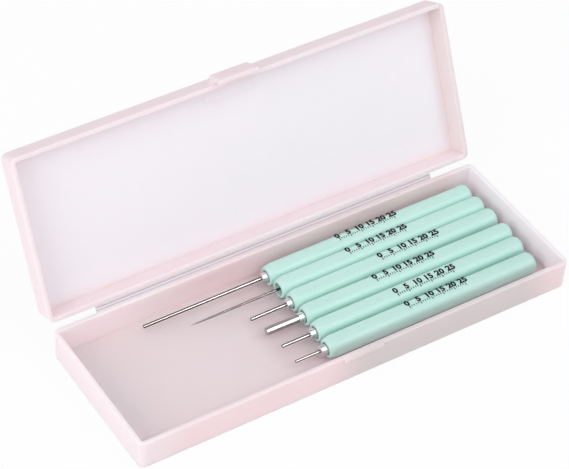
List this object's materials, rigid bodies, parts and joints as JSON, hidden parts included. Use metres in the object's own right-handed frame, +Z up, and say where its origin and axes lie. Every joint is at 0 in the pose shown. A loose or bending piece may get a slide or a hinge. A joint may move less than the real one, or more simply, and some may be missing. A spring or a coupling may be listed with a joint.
{
  "type": "quilling tool set",
  "caption": "Open hinged translucent case with slim paper-quilling tools: rounded square handles with metal ferrules and rod or needle tips.",
  "frame": {"origin": "centre of the case base's underside", "axes": "+X along the case towards the rear ends of the tools, -Y towards the latch side, +Z up"},
  "size_m": [0.185, 0.1018, 0.0763],
  "materials": {
    "case_plastic": "frosted translucent pink",
    "handle_plastic": "satin mint green",
    "ferrule_metal": "bright turned",
    "shaft_metal": "polished steel"
  },
  "bodies": {
    "base": {"case_base": "case_plastic", "hinge_web": "case_plastic"},
    "lid": {"case_lid": "case_plastic"},
    "tool_1": {"tool_1_handle": "handle_plastic", "tool_1_ferrule": "ferrule_metal", "tool_1_shaft": "shaft_metal"},
    "tool_2": {"tool_2_handle": "handle_plastic", "tool_2_ferrule": "ferrule_metal", "tool_2_shaft": "shaft_metal"},
    "tool_3": {"tool_3_handle": "handle_plastic", "tool_3_ferrule": "ferrule_metal", "tool_3_shaft": "shaft_metal"},
    "tool_4": {"tool_4_handle": "handle_plastic", "tool_4_ferrule": "ferrule_metal", "tool_4_shaft": "shaft_metal"},
    "tool_5": {"tool_5_handle": "handle_plastic", "tool_5_ferrule": "ferrule_metal", "tool_5_shaft": "shaft_metal"},
    "tool_6": {"tool_6_handle": "handle_plastic", "tool_6_ferrule": "ferrule_metal", "tool_6_shaft": "shaft_metal"}
  },
  "joints": [
    {"name": "lid_hinge", "type": "hinge", "parent": "base", "child": "lid", "pos_m": [0, 0.03344, 0.01305], "axis": [-1, 0, 0], "range_deg": [-114.4, 65.6], "deforming": ["hinge_web"]},
    {"name": "tool_1_lift", "type": "slide", "parent": "base", "child": "tool_1", "axis": [0, 0, 1], "range_m": [0, 0.03]},
    {"name": "tool_2_lift", "type": "slide", "parent": "base", "child": "tool_2", "axis": [0, 0, 1], "range_m": [0, 0.03]},
    {"name": "tool_3_lift", "type": "slide", "parent": "base", "child": "tool_3", "axis": [0, 0, 1], "range_m": [0, 0.03]},
    {"name": "tool_4_lift", "type": "slide", "parent": "base", "child": "tool_4", "axis": [0, 0, 1], "range_m": [0, 0.03]},
    {"name": "tool_5_lift", "type": "slide", "parent": "base", "child": "tool_5", "axis": [0, 0, 1], "range_m": [0, 0.03]},
    {"name": "tool_6_lift", "type": "slide", "parent": "base", "child": "tool_6", "axis": [0, 0, 1], "range_m": [0, 0.03]}
  ]
}
